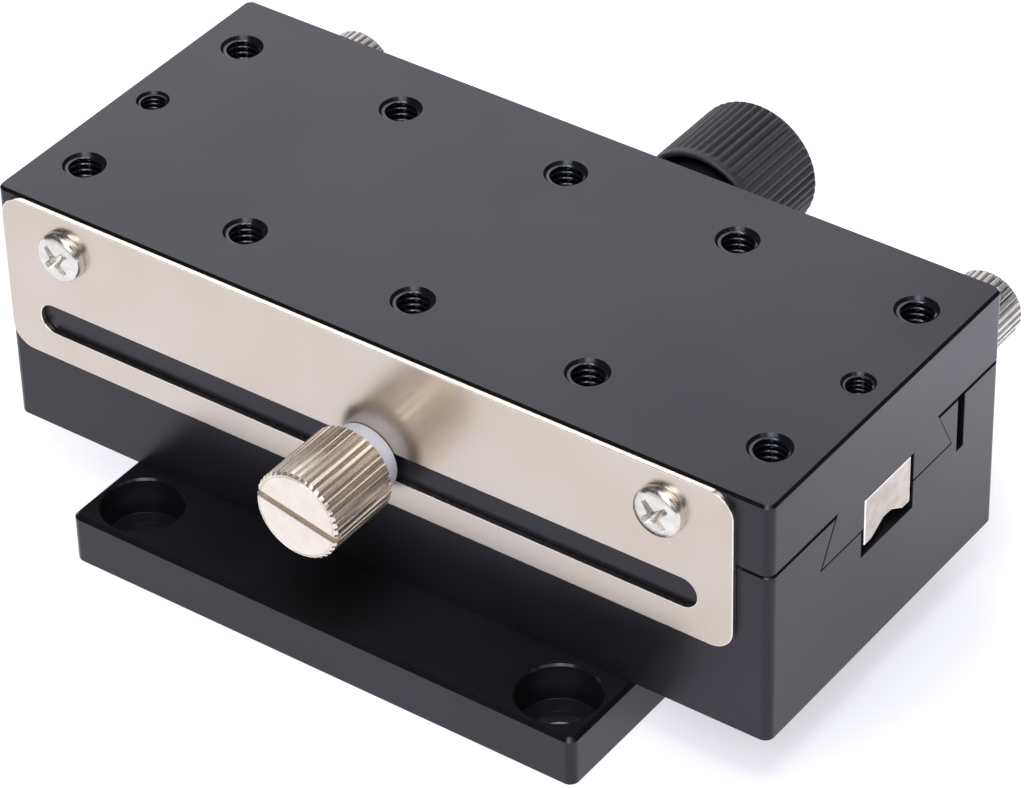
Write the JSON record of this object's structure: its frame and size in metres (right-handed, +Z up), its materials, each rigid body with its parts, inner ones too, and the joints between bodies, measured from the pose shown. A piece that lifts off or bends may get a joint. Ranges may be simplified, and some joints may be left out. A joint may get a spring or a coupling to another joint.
{
  "type": "linear stage",
  "caption": "Dovetail linear stage with a rack and pinion knob, slotted lock plate and thumb screws on a square base.",
  "frame": {"origin": "centre of the base plate's underside", "axes": "+X along the travel, +Y towards the drive knob, +Z up out of the table's top"},
  "size_m": [0.09, 0.0788, 0.0333],
  "materials": {
    "black_anodised": "satin black anodised, bead blasted",
    "knob_black": "matt black anodised",
    "stainless": "satin rolled sheet",
    "nickel": "bright nickel plated",
    "steel_bright": "machined",
    "steel_dark": "black oxide",
    "bronze": "machined sintered bronze",
    "brass": "machined",
    "nylon": "moulded"
  },
  "bodies": {
    "body": {"base_plate": "black_anodised", "base_plate_screws": "steel_dark", "body": "black_anodised", "front_bush": "bronze", "shaft_housing": "black_anodised", "housing_bushes": "bronze", "housing_set_screw": "steel_dark", "gib_set_screws": "steel_dark"},
    "table": {"table": "black_anodised", "rack": "steel_bright", "rack_screws": "steel_dark", "lock_plate": "stainless", "lock_plate_screws": "nickel"},
    "knob": {"pinion": "brass", "pinion_washers": "bronze", "pinion_shaft": "steel_bright", "knob_washer": "nylon", "knob": "knob_black", "knob_set_screw": "steel_dark"},
    "lock_washer": {"lock_washer": "nylon"},
    "lock_screw": {"lock_screw": "nickel"},
    "gib_pad_left": {"gib_pad_left": "nylon"},
    "gib_screw_left": {"gib_screw_left": "nickel"},
    "gib_pad_right": {"gib_pad_right": "nylon"},
    "gib_screw_right": {"gib_screw_right": "nickel"}
  },
  "joints": [
    {"name": "table_slide", "type": "slide", "parent": "body", "child": "table", "axis": [1, 0, 0], "range_m": [-0.035, 0.035]},
    {"name": "knob_turn", "type": "hinge", "parent": "body", "child": "knob", "pos_m": [0, 0.0413, 0.01466], "axis": [0, 1, 0], "range_deg": [-495, 495]},
    {"name": "lock_screw_travel", "type": "slide", "parent": "body", "child": "lock_washer", "axis": [0, -1, 0], "range_m": [0, 0.001]},
    {"name": "lock_screw_turn", "type": "hinge", "parent": "lock_washer", "child": "lock_screw", "pos_m": [0, -0.0274, 0.01995], "axis": [0, -1, 0], "range_deg": [0, 720]},
    {"name": "gib_screw_left_travel", "type": "slide", "parent": "body", "child": "gib_pad_left", "axis": [0, 1, 0], "range_m": [0, 0.001]},
    {"name": "gib_screw_left_turn", "type": "hinge", "parent": "gib_pad_left", "child": "gib_screw_left", "pos_m": [-0.038, 0.0263, 0.0227], "axis": [0, 1, 0], "range_deg": [0, 720]},
    {"name": "gib_screw_right_travel", "type": "slide", "parent": "body", "child": "gib_pad_right", "axis": [0, 1, 0], "range_m": [0, 0.001]},
    {"name": "gib_screw_right_turn", "type": "hinge", "parent": "gib_pad_right", "child": "gib_screw_right", "pos_m": [0.038, 0.0263, 0.0227], "axis": [0, 1, 0], "range_deg": [0, 720]}
  ],
  "couplings": [
    {"joint": "knob_turn", "follows": "table_slide", "rad_per_m": 244.54},
    {"joint": "lock_screw_turn", "follows": "lock_screw_travel", "rad_per_m": 12566},
    {"joint": "gib_screw_left_turn", "follows": "gib_screw_left_travel", "rad_per_m": 12566},
    {"joint": "gib_screw_right_turn", "follows": "gib_screw_right_travel", "rad_per_m": 12566}
  ]
}
